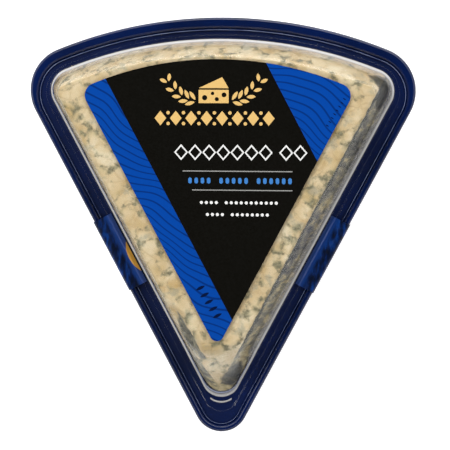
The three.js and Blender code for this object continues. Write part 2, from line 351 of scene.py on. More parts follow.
def draw_ring(name, z, side, back, corner, tip, back_radius=None):
    """A closed wedge outline at one height, by its insets from the pack's edge and its radii."""
    back_radius = back_radius or BACK_RADIUS - back
    back_y = BACK_CENTRE_Y + BACK_RADIUS - back - back_radius
    tip_y = APEX_Y + (side + tip) / SIN
    start = APEX_Y + (side + corner) / SIN - back_y
    along = math.sqrt((back_radius - corner) ** 2 - (start * SIN) ** 2) - start * COS
    corner_x = along * SIN
    corner_y = back_y + start + along * COS
    turn = math.atan2(corner_y - back_y, corner_x)
    bpy.ops.mesh.select_all(action="DESELECT")
    start_point(-COS * tip, tip_y - SIN * tip, z)
    spin(0, tip_y, z, math.pi - 2 * HALF_ANGLE, TIP_STEPS)
    extrude(corner_x + COS * (corner - tip), corner_y - tip_y - SIN * (corner - tip))
    spin(corner_x, corner_y, z, turn + HALF_ANGLE, CORNER_STEPS)
    spin(0, back_y, z, math.pi - 2 * turn, BACK_STEPS)
    spin(-corner_x, corner_y, z, turn + HALF_ANGLE, CORNER_STEPS)
    select_where("verts", lambda vert: len(vert.link_edges) == 1)
    bpy.ops.mesh.edge_face_add()
    bpy.ops.mesh.select_linked()
    bpy.ops.object.vertex_group_assign_new()
    bpy.context.edit_object.vertex_groups[-1].name = name


def loft(rings, outline):
    """Draws the rings of a section, {name: (inset, height, bend radius)}, joins each to the next,
    fills the first and the last, and rounds each bend."""
    for i, (name, (inset, z, _)) in enumerate(rings.items()):
        draw_ring(name, z + i * HAIR, **outline(inset, z))
    names = list(rings)
    for lower, upper in zip(names, names[1:]):
        select_rings(lower, upper)
        bpy.ops.mesh.bridge_edge_loops()
    for end in (names[0], names[-1]):
        select_rings(end)
        bpy.ops.mesh.edge_face_add()
    for before, here, after in zip(names, names[1:], names[2:]):
        bend = rings[here][2]
        if bend:
            middle, *ends = [Vector(rings[name][:2]) for name in (here, before, after)]
            half = (ends[0] - middle).angle(ends[1] - middle) / 2
            offset = bend * MM / math.tan(half)
            select_rings(here)
            bpy.ops.mesh.bevel(offset=offset, segments=BEND_STEPS, affect="EDGES")
    bpy.ops.mesh.select_all(action="SELECT")
    bpy.ops.mesh.normals_make_consistent(inside=False)


def apply_modifier(piece, kind, **settings):
    modifier = piece.modifiers.new(kind.title(), kind)
    for name, value in settings.items():
        setattr(modifier, name, value)
    bpy.ops.object.modifier_apply(modifier=modifier.name)


def finish_piece(piece, material, slot, *replaced, smooth_angle=35):
    """Leaves edit mode, smooths the shading and fits the piece into the frame."""
    if bpy.context.mode != "OBJECT":
        bpy.ops.object.mode_set(mode="OBJECT")
    bpy.ops.object.shade_smooth_by_angle(angle=math.radians(smooth_angle))
    apply_modifier(piece, "WEIGHTED_NORMAL", keep_sharp=True)
    if material:
        piece.data.materials.append(material)
    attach(piece, "root")
    if replaced:
        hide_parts(*replaced)


def corner_at(inset):
    return max(CORNER_RADIUS - inset, LEAST_CORNER_RADIUS)


def tip_at(inset):
    return max(TIP_RADIUS - inset, LEDGE_TIP_RADIUS)


def back_inset(inset):
    """Along the back the ledge starts a little further in than along the sides."""
    grown = clamp(inset / RIM_WIDTH, 0, 1)
    left = clamp((DOME_FOOT_INSET - inset) / (DOME_FOOT_INSET - LID_EDGE_INSET), 0, 1)
    return inset + BACK_LEDGE_SHIFT * grown * left


def linear(hex_colour):
    """An sRGB hex colour as the linear colour that a shader takes."""
    parts = [int(hex_colour[i : i + 2], 16) / 255 for i in (1, 3, 5)]
    return [c / 12.92 if c <= 0.04045 else ((c + 0.055) / 1.055) ** 2.4 for c in parts] + [1]


def add(tree, kind, inputs=(), stops=(), **settings):
    """Adds a node: its settings, a colour ramp's stops, and its inputs' values or links. A node
    given as a value is linked by its first output in use, and a hex colour is made linear."""
    made = tree.nodes.new("ShaderNode" + kind)
    for name, value in settings.items():
        setattr(made, name, value)
    for i, (position, colour) in enumerate(stops):
        elements = made.color_ramp.elements
        stop = elements[i] if i < 2 else elements.new(position)
        stop.position = position
        stop.color = linear(colour)
    for name, value in dict(inputs).items():
        if isinstance(value, bpy.types.Node):
            value = next(output for output in value.outputs if output.enabled)
        if isinstance(value, str):
            value = linear(value)
        if isinstance(value, bpy.types.NodeSocket):
            tree.links.new(value, made.inputs[name])
        else:
            made.inputs[name].default_value = value
    return made


def new_material(name):
    """A material with an empty tree, and the object coordinates to draw its patterns on."""
    material = bpy.data.materials.new(name)
    material.use_nodes = True
    tree = material.node_tree
    tree.nodes.clear()
    place = add(tree, "TexCoord").outputs["Object"]
    return material, tree, place


def side_inset(tree, place, side):
    """How far in from the pack's side a point lies. side is -1 for the left and 1 for the right."""
    inward = (-side * COS, SIN, 0)
    reach = add(tree, "VectorMath", {0: place, 1: inward}, operation="DOT_PRODUCT")
    return add(tree, "Math", {0: reach, 1: APEX_Y * SIN * MM}, operation="SUBTRACT")


def crack_lines(tree, place, size, wander, width):
    """Lines that wander between crumbs, all sizes in millimetres."""
    bent = add(tree, "TexNoise", {"Vector": place, "Scale": 0.5 / (size * MM), "Detail": 4})
    shifted = add(
        tree,
        "VectorMath",
        {0: bent.outputs["Color"], 1: [2 * wander * MM] * 3, 2: place},
        operation="MULTIPLY_ADD",
    )
    cells = add(
        tree,
        "TexVoronoi",
        {"Vector": shifted, "Scale": 1 / (size * MM)},
        feature="DISTANCE_TO_EDGE",
    )
    return add(
        tree,
        "MapRange",
        {"Value": cells, "From Min": width / 2 / size, "From Max": 0},
        interpolation_type="SMOOTHSTEP",
    )


def spots(tree, place, size, start, end):
    """Soft irregular spots: clouds of a size in millimetres, kept where they are over a level."""
    cloud = add(
        tree,
        "TexNoise",
        {"Vector": place, "Scale": 1 / (size * MM), "Detail": 4, "Roughness": 0.6},
    )
    return add(
        tree,
        "MapRange",
        {"Value": cloud, "From Min": start, "From Max": end},
        interpolation_type="SMOOTHSTEP",
    )


def polypropylene_tray():
    """Thermoformed dark blue polypropylene sheet: satin gloss, with a faint orange peel."""
    material, tree, place = new_material("thermoformed_blue_polypropylene")
    peel = add(tree, "TexNoise", {"Vector": place, "Scale": 1 / (3 * MM), "Detail": 2})
    cloud = add(tree, "TexNoise", {"Vector": place, "Scale": 1 / (25 * MM)})
    colour = add(tree, "ValToRGB", {"Fac": cloud}, [(0.3, "#010f34"), (0.7, "#021748")])
    rough = add(tree, "MapRange", {"Value": peel, "To Min": 0.18, "To Max": 0.28})
    bump = add(tree, "Bump", {"Height": peel, "Strength": 0.03, "Distance": 0.3 * MM})
    shader = add(
        tree,
        "BsdfPrincipled",
        {"Base Color": colour, "Roughness": rough, "Normal": bump, "IOR": 1.49},
    )
    add(tree, "OutputMaterial", {"Surface": shader})
    return material


def clear_lid_sheet(name, haze_and_glow_share=0):
    """Thermoformed clear polyester sheet: nearly all light goes through, and its bends mirror the
    lamps the more the flatter they are seen. Round the dome's foot, where the sheet was drawn thin,
    it is hazy, most on the bend; this white haze is partly real and partly painted glow, standing in
    for the light that the bend sends up."""
    material, tree, place = new_material(name)
    ripple = add(tree, "TexNoise", {"Vector": place, "Scale": 1 / (9 * MM), "Detail": 1})
    bump = add(tree, "Bump", {"Height": ripple, "Strength": 0.04, "Distance": 0.4 * MM})
    mirror = add(tree, "BsdfGlossy", {"Color": "#ffffff", "Roughness": 0.22, "Normal": bump})
    through = add(tree, "BsdfTransparent", {"Color": "#fbfcfc"})
    slant = add(tree, "LayerWeight", {"Blend": 0.5, "Normal": bump}).outputs["Facing"]
    steep = add(tree, "Math", {0: slant, 1: 5}, operation="POWER")
    share = add(
        tree,
        "MapRange",
        {"Value": steep, "To Min": MIRROR_FACE_ON, "To Max": MIRROR_EDGE_ON},
    )
    sheet = add(tree, "MixShader", {0: share, 1: through, 2: mirror})
    # Round the dome's foot, white diffuse is mixed in: partly real haze, partly painted glow
    if haze_and_glow_share:
        apart = add(tree, "SeparateXYZ", {"Vector": place})
        rise = add(
            tree,
            "MapRange",
            {
                "Value": apart.outputs["Z"],
                "From Min": (LID_FOOT + LID_WALL) * MM,
                "From Max": (LID_FOOT + LID_WALL + HAZE_AND_GLOW_HEIGHT) * MM,
            },
        )
        # The tip's wall leans most, and its hazy band of painted glow is low and fainter
        start, end = TIP_HAZE_AND_GLOW_ALONG
        near_tip = {"Value": apart.outputs["Y"], "From Min": start * MM, "From Max": end * MM}
        lower = add(tree, "MapRange", {**near_tip, "To Min": 1, "To Max": TIP_HAZE_AND_GLOW_LOWER})
        rise = add(tree, "Math", {0: rise, 1: lower}, operation="MULTIPLY")
        stops = [
            (0.0, "#000000"),
            (0.014, "#ffffff"),
            (0.1, "#ffffff"),
            (0.2, "#c4c4c4"),
            (0.66, "#919191"),
            (1.0, "#000000"),
        ]
        glow_band = add(tree, "ValToRGB", {"Fac": rise}, stops)
        fainter = add(tree, "MapRange", {**near_tip, "To Min": 1, "To Max": TIP_HAZE_AND_GLOW_FAINTER})
        share = add(tree, "Math", {0: glow_band, 1: fainter}, operation="MULTIPLY")
        share = add(tree, "Math", {0: share, 1: haze_and_glow_share}, operation="MULTIPLY")
        hazy_glow = add(tree, "BsdfDiffuse", {"Color": "#e4e1dc"})
        sheet = add(tree, "MixShader", {0: share, 1: sheet, 2: hazy_glow})
    add(tree, "OutputMaterial", {"Surface": sheet})
    return material


def lid_cut_edge():
    """The lid sheet's punched edge. Light that travels in the sheet leaves it here, and this glow is
    painted into the edge's colour as a thin pale blue line."""
    material, tree, place = new_material("punched_polyester_edge_painted_glow")
    nick = add(tree, "TexNoise", {"Vector": place, "Scale": 1 / (6 * MM), "Detail": 3})
    # Painted glow: the pale blue colour stands in for light leaving the edge
    glow = add(tree, "ValToRGB", {"Fac": nick}, [(0.35, "#46568a"), (0.65, "#8b99c0")])
    shader = add(tree, "BsdfPrincipled", {"Base Color": glow, "Roughness": 0.25, "IOR": 1.57})
    add(tree, "OutputMaterial", {"Surface": shader})
    return material


def smear_and_shade_shares(tree, place, wander):
    """How much smears, and dark patches of mould with painted shade, cover the paste, by name: the
    right side, a patch on the left near the tip, the foot round the tip, and a dark patch at the
    right corner and at the tip. Also gives how far in from the right side a point lies, unevenly."""
    spread = SMEAR_UNEVENNESS * MM
    uneven = add(tree, "Math", {0: wander, 1: spread, 2: -spread / 2}, operation="MULTIPLY_ADD")
    right_inset, left_inset = [
        add(tree, "Math", {0: side_inset(tree, place, side), 1: uneven}, operation="ADD")
        for side in (1, -1)
    ]
    along = add(tree, "SeparateXYZ", {"Vector": place}).outputs["Y"]
    measured = {"right": right_inset, "left": left_inset, "foot": left_inset, "tip": along}
    limits = dict(SMEAR_LIMITS)
    for name, (middle, raggedness, distances) in ROUND_SMEARS_AND_SHADE.items():
        away = add(tree, "VectorMath", {0: place, 1: Vector(middle) * MM}, operation="DISTANCE")
        measured[name] = add(
            tree, "Math", {0: uneven, 1: raggedness, 2: away}, operation="MULTIPLY_ADD"
        )
        limits[name] = distances
    shares = {}
    for name, (start, full) in limits.items():
        shares[name] = add(
            tree,
            "MapRange",
            {"Value": measured[name], "From Min": start * MM, "From Max": full * MM},
            interpolation_type="SMOOTHSTEP",
        )
    for name, side, part in (("left_patch", "left", "left_patch"), ("tip_foot", "foot", "tip")):
        shares[name] = add(tree, "Math", {0: shares[side], 1: shares[part]}, operation="MULTIPLY")
    on_left = {0: shares["left_patch"], 1: shares["tip_foot"]}
    on_left = add(tree, "Math", on_left, operation="MAXIMUM")
    shares["smear"] = add(tree, "Math", {0: shares["right"], 1: on_left}, operation="MAXIMUM")
    return shares, right_inset


def smeared_paste(tree, place, right):
    """The colour of whey and mould rubbed on the lid, and the coordinates that it is drawn on."""
    # On the right side they run down it, so they are drawn out across it and along its height
    drawn_out = add(
        tree,
        "Mapping",
        {"Vector": place, "Rotation": (0, 0, math.pi / 2 - HALF_ANGLE), "Scale": (1, 2.5, 3.2)},
        vector_type="TEXTURE",
    )
    down = add(tree, "Mix", {0: right, 4: place, 5: drawn_out}, data_type="VECTOR")
    smudge = add(
        tree, "TexNoise", {"Vector": down, "Scale": 1 / (1.9 * MM), "Detail": 6, "Roughness": 0.62}
    )
    stretch = add(tree, "TexNoise", {"Vector": place, "Scale": 1 / (14 * MM), "Detail": 2})
    blend = add(tree, "Math", {0: stretch, 1: 0.5, 2: smudge}, operation="MULTIPLY_ADD")
    stops = [
        (0.58, "#3c3a34"),
        (0.66, "#5c5850"),
        (0.74, "#787163"),
        (0.82, "#90876f"),
        (0.88, "#b3a27b"),
        (0.96, "#ccba93"),
    ]
    return add(tree, "ValToRGB", {"Fac": blend}, stops), down


def side_shade_line(tree, right_inset, at_tip):
    """A line of painted shade along the right side just under the top edge, where the top meets the
    side. It ends before the tip.
    """
    place = add(tree, "Math", {0: right_inset, 1: 1 / (SHADE_LINE_SPAN * MM)}, operation="MULTIPLY")
    colours = ("#000000", "#ffffff", "#ffffff", "#000000")
    stops = [(inset / SHADE_LINE_SPAN, colour) for inset, colour in zip(SHADE_LINE_INSETS, colours)]
    line = add(tree, "ValToRGB", {"Fac": place}, stops)
    off_tip = add(tree, "Math", {0: 1, 1: at_tip}, operation="SUBTRACT")
    return add(tree, "Math", {0: line, 1: off_tip}, operation="MULTIPLY")


def blue_cheese_paste():
    """Moist crumbly cream paste. Dark olive and blue-grey mould lies in blots along some of the
    cracks between crumbs, ochre stains lie between, and the cut sides that press on the lid are
    smeared grey with whey and mould."""
    material, tree, place = new_material("crumbly_blue_veined_cheese")
    # The wedge is cut across its veins, which are drawn out along its height
    tall = add(tree, "Mapping", {"Vector": place, "Scale": (1, 1, 0.5)}).outputs["Vector"]
    cloud = add(tree, "TexNoise", {"Vector": tall, "Scale": 1 / (6 * MM), "Detail": 4})
    surface = add(
        tree,
        "ValToRGB",
        {"Fac": cloud},
        [(0.3, "#c2a674"), (0.42, "#cdb389"), (0.54, "#d6c09a"), (0.68, "#dfceae")],
    )
    grain = add(tree, "TexNoise", {"Vector": place, "Scale": 1 / (0.9 * MM), "Detail": 3})
    mould = add(
        tree, "ValToRGB", {"Fac": grain}, [(0.34, "#45453a"), (0.5, "#64624f"), (0.66, "#858169")]
    )
    blots = spots(tree, tall, 3.4, 0.48, 0.63)
    fringe, veins = [
        add(
            tree,
            "Math",
            {0: crack_lines(tree, tall, CRUMB_SIZE, CRACK_WANDER, width), 1: blots},
            operation="MULTIPLY",
        )
        for width in (FRINGE_WIDTH, VEIN_WIDTH)
    ]

    wander = add(
        tree, "TexNoise", {"Vector": place, "Scale": 1 / (2.6 * MM), "Detail": 5, "Roughness": 0.65}
    )
    shares, right_inset = smear_and_shade_shares(tree, place, wander)
    smeared, down = smeared_paste(tree, place, shares["right"])
    # Pale streaks on the smears: whey, and painted glints of the wet smear
    streaks = {0: crack_lines(tree, down, 1.8, 1.8, 0.4), 1: shares["smear"]}
    streaks = add(tree, "Math", streaks, operation="MULTIPLY")
    some_streaks = {0: streaks, 1: spots(tree, down, 3, 0.5, 0.6)}
    some_streaks = add(tree, "Math", some_streaks, operation="MULTIPLY")

    # Stains, painted shade in the cracks, mould, smears, patches of painted shade, pale streaks and
    # a painted shade line are laid on the paste one after another
    for where, strength, colour in (
        (spots(tree, tall, 7.5, 0.57, 0.7), 0.45, "#b8924f"),
        # Painted shade: the cracks between crumbs darkened to tan
        (crack_lines(tree, tall, CRUMB_SIZE, CRACK_WANDER, 1.1), 0.17, "#a8875a"),
        (spots(tree, tall, 5, 0.55, 0.68), 0.5, "#8c9083"),
        (fringe, 0.5, "#9a9062"),
        (veins, 0.8, mould),
        (spots(tree, tall, 1.5, 0.68, 0.74), 0.7, "#5c5946"),
        (shares["smear"], 1, smeared),
        # Painted shade over the left patch, where the top edge is broken
        (shares["left_patch"], 0.35, "#4a4a40"),
        # Dark mould at the tip, with the painted shade of its flanks
        (shares["tip_mould_and_shade"], 0.85, "#3a3a3a"),
        # Pale whey streaks, partly painted glints
        (some_streaks, 0.45, "#b4ad98"),
        # Painted shade where the top edge meets the right side
        (side_shade_line(tree, right_inset, shares["tip"]), 0.95, "#37342a"),
        # Dark mould at the broken right corner, with the painted shade of its hollow
        (shares["corner_mould_and_shade"], 0.85, "#2b2a22"),
    ):
        share = add(tree, "Math", {0: where, 1: strength}, operation="MULTIPLY")
        surface = add(tree, "Mix", {0: share, 6: surface, 7: colour}, data_type="RGBA")

    edges = crack_lines(tree, tall, CRUMB_SIZE, CRACK_WANDER, 0.8)
    height = add(tree, "Math", {0: edges, 1: -1, 2: grain}, operation="MULTIPLY_ADD")
    bump = add(tree, "Bump", {"Height": height, "Strength": 0.3, "Distance": 0.3 * MM})
    rough = add(
        tree,
        "MapRange",
        {"Value": wander, "From Min": 0.35, "From Max": 0.65, "To Min": 0.56, "To Max": 0.76},
    )
    shader = add(
        tree,
        "BsdfPrincipled",
        {"Base Color": surface, "Roughness": rough, "Normal": bump, "IOR": 1.45},
    )
    add(tree, "OutputMaterial", {"Surface": shader})
    return material


def label_ink(name, hex_colour):
    """Flat ink on satin label film, laid on a little unevenly, with a soft shine."""
    material, tree, place = new_material(name)
    grain = add(tree, "TexNoise", {"Vector": place, "Scale": 1 / (0.5 * MM), "Detail": 2})
    thin = add(
        tree,
        "MapRange",
        {"Value": grain, "From Min": 0.3, "From Max": 0.7, "To Max": 0.006},
    )
    colour = add(tree, "Mix", {0: thin, 6: hex_colour, 7: "#8a8a88"}, data_type="RGBA")
    rough = add(tree, "MapRange", {"Value": grain, "To Min": 0.16, "To Max": 0.24})
    shader = add(tree, "BsdfPrincipled", {"Base Color": colour, "Roughness": rough, "IOR": 1.45})
    add(tree, "OutputMaterial", {"Surface": shader})
    return material


def striped_blue_ink():
    """The label's blue ink, with fine darker stripes that sway evenly side by side."""
    material, tree, place = new_material("label_striped_blue_ink")
    turned = add(tree, "Mapping", {"Vector": place, "Rotation": (0, 0, math.radians(-62))})
    # At scale 1 a wave's crests are pi / 10 apart
    wave = add(
        tree,
        "TexWave",
        {
            "Vector": turned,
            "Scale": math.pi / 10 / (STRIPE_PITCH * MM),
            "Distortion": 26,
            "Detail": 0.5,
            "Detail Scale": 0.3,
        },
        bands_direction="X",
    )
    stops = [(0.0, "#043e93"), (0.84, "#043e93"), (0.98, "#032a6c")]
    colour = add(tree, "ValToRGB", {"Fac": wave}, stops)
    shader = add(tree, "BsdfPrincipled", {"Base Color": colour, "Roughness": 0.2, "IOR": 1.45})
    add(tree, "OutputMaterial", {"Surface": shader})
    return material


def seal_film():
    """Thin printed polypropylene film: dark brushed waves on its outer part, plain blue where it
    bridges to the dome, and finely creased."""
    material, tree, place = new_material("printed_seal_film")
    sides = {0: side_inset(tree, place, -1), 1: side_inset(tree, place, 1)}
    inset = add(tree, "Math", sides, operation="MINIMUM")
    drawn_out = add(
        tree,
        "Mapping",
        {"Vector": place, "Rotation": (0, 0, math.radians(25)), "Scale": (1, 0.3, 1)},
    )
    strokes = add(
        tree,
        "TexNoise",
        {"Vector": drawn_out, "Scale": 1 / (1.3 * MM), "Detail": 4, "Roughness": 0.6},
    )
    stops = [(0.42, "#010c27"), (0.53, "#041f52"), (0.65, "#0a3a84")]
    brushed = add(tree, "ValToRGB", {"Fac": strokes}, stops)
    start, end = SEAL_PLAIN_INSETS
    plain_part = add(
        tree,
        "MapRange",
        {"Value": inset, "From Min": start * MM, "From Max": end * MM},
        interpolation_type="SMOOTHSTEP",
    )
    colour = add(tree, "Mix", {0: plain_part, 6: brushed, 7: "#0b3376"}, data_type="RGBA")
    disc = Vector((GOLD_DISC.x, GOLD_DISC.y, LEDGE)) * MM
    from_disc = add(tree, "VectorMath", {0: place, 1: disc}, operation="DISTANCE")
    gold = add(
        tree,
        "MapRange",
        {
            "Value": from_disc,
            "From Min": (GOLD_DISC_RADIUS + GOLD_DISC_BLUR) * MM,
            "From Max": (GOLD_DISC_RADIUS - GOLD_DISC_BLUR) * MM,
        },
    )
    colour = add(tree, "Mix", {0: gold, 6: colour, 7: "#b98a32"}, data_type="RGBA")
    crease = add(
        tree, "TexNoise", {"Vector": place, "Scale": 1 / (2.4 * MM), "Detail": 4, "Roughness": 0.55}
    )
    bump = add(tree, "Bump", {"Height": crease, "Strength": 0.5, "Distance": 0.5 * MM})
    shader = add(
        tree,
        "BsdfPrincipled",
        {"Base Color": colour, "Roughness": 0.28, "Normal": bump, "IOR": 1.49},
    )
    add(tree, "OutputMaterial", {"Surface": shader})
    return material


def make_tray():
    """The tray's sheet, from the panel under its floor out over the rim and in to the floor."""
    rim_hollow = RIM_TOP - 1.5 * SHEET
    skirt_foot = LEDGE - SKIRT_DEPTH
    rings = {
        "panel": (PANEL_INSET + PANEL_RISE, PANEL_RISE, 0),
        "panel_edge": (PANEL_INSET, 0, 0),
        "foot": (WELL_FLOOR_INSET - SHEET / 2, 0, FOOT_BEND),
        "under_ledge_in": (WELL_MOUTH_INSET - SHEET, LEDGE - SHEET, LEDGE_BEND),
        "under_ledge_out": (RIM_WIDTH - SHEET / 2, LEDGE - SHEET, LEDGE_BEND),
        "hollow_in": (RIM_WIDTH - SHEET, rim_hollow, 0),
        "hollow_out": (SHEET, rim_hollow, 0),
        "hem_in": (SHEET, skirt_foot, 0),
        "hem_out": (0, skirt_foot, 0),
        "rim_out": (0, RIM_TOP, RIM_BEND),
        "rim_in": (RIM_WIDTH, RIM_TOP, RIM_BEND),
        "rim_foot": (RIM_WIDTH, LEDGE, LEDGE_BEND),
        "well_mouth": (WELL_MOUTH_INSET, LEDGE, WELL_BEND),
        "well_floor": (WELL_FLOOR_INSET, FLOOR_THICKNESS, 0),
    }

    def outline(inset, _):
        return {
            "side": inset,
            "back": back_inset(inset),
            "corner": corner_at(inset),
            "tip": tip_at(inset),
        }

    tray = new_piece("tray_sheet")
    loft(rings, outline)
    finish_piece(tray, polypropylene_tray(), "tray_blue", "tray")


def flange_bead(name, inset, height):
    """A low stiffening bead on the lid's flange, as rings of its section."""
    top = LID_FOOT + LID_WALL
    return {
        f"{name}_out": (inset - BEAD_WIDTH / 2, top, 0),
        f"{name}_crest": (inset, top + height, 0),
        f"{name}_in": (inset + BEAD_WIDTH / 2, top, 0),
    }


def make_lid():
    """The lid's sheet. From foot to top the dome's corners grow sharper and its tip rounder."""
    flange_top = LID_FOOT + LID_WALL
    lean = (DOME_TOP_INSET - DOME_FOOT_INSET) / (LID_TOP - flange_top)
    rings = {
        "under_top_middle": (FLAT_TOP_INSET, LID_TOP - LID_WALL, 0),
        "under_top": (DOME_TOP_INSET + LID_WALL, LID_TOP - LID_WALL, DOME_TOP_FILLET - LID_WALL),
        "under_foot": (DOME_FOOT_INSET + LID_WALL, LID_FOOT, DOME_FOOT_FILLET + LID_WALL),
        "edge_low": (LID_EDGE_INSET, LID_FOOT, 0),
        "edge_high": (LID_EDGE_INSET, flange_top, LID_EDGE_BEND),
        **flange_bead("outer_bead", *OUTER_BEAD),
        **flange_bead("inner_bead", *INNER_BEAD),
        "foot": (DOME_FOOT_INSET, flange_top, DOME_FOOT_FILLET),
        "haze_and_glow_end": (DOME_FOOT_INSET + lean * HAZE_AND_GLOW_HEIGHT, flange_top + HAZE_AND_GLOW_HEIGHT, 0),
        "top": (DOME_TOP_INSET, LID_TOP, DOME_TOP_FILLET),
        "top_middle": (FLAT_TOP_INSET, LID_TOP, 0),
    }

    def outline(inset, z):
        rise = clamp((z - flange_top) / (LID_TOP - flange_top), 0, 1)
        return {
            "side": inset,
            "back": back_inset(inset),
            "corner": corner_at(inset) + rise * (LEAST_CORNER_RADIUS - corner_at(inset)),
            "tip": tip_at(inset) + rise * (DOME_TOP_TIP_RADIUS - tip_at(inset)),
        }

    lid = new_piece("lid_sheet")
    loft(rings, outline)
    cut_edge = ring_weight("edge_low", "edge_high")
    haze_and_glow_rings = ring_weight("foot", "haze_and_glow_end")
    bead_flank = ring_weight("inner_bead_out", "inner_bead_crest")

    # The inner bead's flank round the tip is painted white as a highlight, and the band round the
    # dome's foot takes the painted glow
    def is_glow_or_glint(vert):
        at_tip = abs(vert.co.x) < TIP_GLINT_HALF_WIDTH * MM and vert.co.y < 0
        return haze_and_glow_rings(vert) or bead_flank(vert) and at_tip

    finishes = [
        (clear_lid_sheet("thermoformed_clear_polyester"), lambda face: True),
        (
            lid_cut_edge(),
            lambda face: abs(face.normal.z) < CUT_EDGE_RISE
            and all(cut_edge(vert) for vert in face.verts),
        ),
        (
            # Painted glow on the hazy band round the dome's foot, and a painted highlight on the
            # inner bead round the tip
            clear_lid_sheet("stretched_polyester_bend_painted_glow", HAZE_AND_GLOW),
            lambda face: all(is_glow_or_glint(vert) for vert in face.verts),
        ),
    ]
    for i, (finish, is_here) in enumerate(finishes):
        lid.data.materials.append(finish)
        select_where("faces", is_here)
        lid.active_material_index = i
        bpy.ops.object.material_slot_assign()
    finish_piece(lid, None, "lid_clear", "lid", smooth_angle=20)


def make_cheese():
    """The wedge: the CAD form, crumbled, and pressed flat where it meets the lid."""
    top = CHEESE_SPACE["top"][1]

    def outline(inset, z):
        lean = clamp((z - LEDGE) / (top - LEDGE), 0, 1)
        return {
            "side": inset,
            "back": inset,
            "corner": corner_at(WELL_MOUTH_INSET) * (1 - lean) + LEAST_CORNER_RADIUS * lean,
            "tip": LEDGE_TIP_RADIUS * (1 - lean) + DOME_TOP_TIP_RADIUS * lean,
        }

    space = new_piece("space_under_lid")
    loft(CHEESE_SPACE, outline)
    bpy.ops.object.mode_set(mode="OBJECT")
    bpy.ops.object.select_all(action="DESELECT")
    cheese = bpy.data.objects.new("cheese_wedge", frame["nodes"]["cheese"].data.copy())
    bpy.context.collection.objects.link(cheese)
    cheese.data.materials.clear()
    bpy.context.view_layer.objects.active = cheese
    cheese.select_set(True)
    bpy.ops.object.mode_set(mode="EDIT")
    bpy.ops.mesh.select_all(action="SELECT")
    bpy.ops.mesh.remove_doubles(threshold=SAME_POINT * MM)
    bpy.ops.object.mode_set(mode="OBJECT")
    apply_modifier(cheese, "REMESH", mode="VOXEL", voxel_size=CRUMB_VOXEL * MM)
    bpy.ops.object.mode_set(mode="EDIT")
    bpy.ops.mesh.select_all(action="SELECT")
    bpy.ops.transform.resize(value=(CHEESE_SPREAD, CHEESE_SPREAD, 1), center_override=(0, 0, 0))
    bpy.ops.object.mode_set(mode="OBJECT")
    for size, depth, level in CRUMBS:
        crumb = bpy.data.textures.new("crumb", "CLOUDS")
        crumb.noise_scale = size * MM
        crumb.noise_depth = 2
        apply_modifier(cheese, "DISPLACE", texture=crumb, strength=depth * MM, mid_level=level)
    apply_modifier(cheese, "SHRINKWRAP", target=space, wrap_mode="INSIDE")
    bpy.data.objects.remove(space)
    finish_piece(cheese, blue_cheese_paste(), "cheese", "cheese", smooth_angle=180)


def inset_from_left(point):
    """How far a point lies in from the pack's left side, in millimetres."""
    return Vector((point.x / MM, point.y / MM - APEX_Y, 0)).dot(LEFT_INWARD)


def make_label():
    """The printed label: a black field between two lines along the pack's left side, and blue
    on either side of it."""
    label = new_piece("label_sheet")
    draw_ring(
        "outline",
        LABEL_FOOT,
        side=LABEL_INSET,
        back=LABEL_BACK_INSET,
        corner=LABEL_CORNER_RADIUS,
        tip=LABEL_TIP_RADIUS,
        back_radius=LABEL_BACK_RADIUS,
    )
    bpy.ops.mesh.edge_face_add()
    bpy.ops.transform.translate(value=(LABEL_SHIFT * MM, 0, 0))
    extrude(0, 0, PRINT_FOOT - LABEL_FOOT)
    for inset in (BLACK_FROM, BLACK_TO):
        bpy.ops.mesh.select_all(action="SELECT")
        line = Vector((0, APEX_Y, 0)) + LEFT_INWARD * inset
        bpy.ops.mesh.bisect(plane_co=line * MM, plane_no=LEFT_INWARD)
    bpy.ops.mesh.select_all(action="SELECT")
    bpy.ops.mesh.normals_make_consistent(inside=False)
    label.data.materials.append(striped_blue_ink())
    label.data.materials.append(label_ink("label_black_ink", "#0a0906"))
    select_where(
        "faces",
        lambda face: BLACK_FROM < inset_from_left(face.calc_center_median()) < BLACK_TO,
    )
    label.active_material_index = 1
    bpy.ops.object.material_slot_assign()
    finish_piece(label, None, "label_print", "label")


def outline_pill(x, y, length, height, angle=0):
    """A bar with round ends about a middle, turned by an angle in degrees."""
    turn = math.radians(angle)
    run = Vector((math.cos(turn), math.sin(turn))) * (length - height)
    middle = Vector((x, y))
    first = middle - run / 2 - run.orthogonal().normalized() * height / 2
    bpy.ops.mesh.select_all(action="DESELECT")
    start_point(*first, PRINT_FOOT)
    extrude(*run)
    spin(*(middle + run / 2), PRINT_FOOT, math.pi, CURVE_STEPS)
    extrude(*-run)
    spin(*(middle - run / 2), PRINT_FOOT, math.pi, CURVE_STEPS)


def outline_leaf(x, y, length, width, angle):
    """A leaf from its stalk end, pointing along an angle in degrees."""
    turn = math.radians(angle)
    along = Vector((math.cos(turn), math.sin(turn)))
    across = Vector((-along.y, along.x))
    radius = (length**2 / 4 + width**2 / 4) / width
    middle = Vector((x, y)) + along * length / 2
    sweep = 2 * math.asin(length / 2 / radius)
    bpy.ops.mesh.select_all(action="DESELECT")
    start_point(x, y, PRINT_FOOT)
    spin(*(middle + across * (radius - width / 2)), PRINT_FOOT, sweep, CURVE_STEPS)
    spin(*(middle - across * (radius - width / 2)), PRINT_FOOT, sweep, CURVE_STEPS)


def outline_lozenge(x, y, width, height):
    bpy.ops.mesh.select_all(action="DESELECT")
    start_point(x - width / 2, y, PRINT_FOOT)
    for way_x, way_y in ((1, -1), (1, 1), (-1, 1), (-1, -1)):
        extrude(way_x * width / 2, way_y * height / 2)


def outline_disc(x, y, radius):
    bpy.ops.mesh.select_all(action="DESELECT")
    start_point(x + radius, y, PRINT_FOOT)
    spin(x, y, PRINT_FOOT, 2 * math.pi, 2 * CURVE_STEPS)


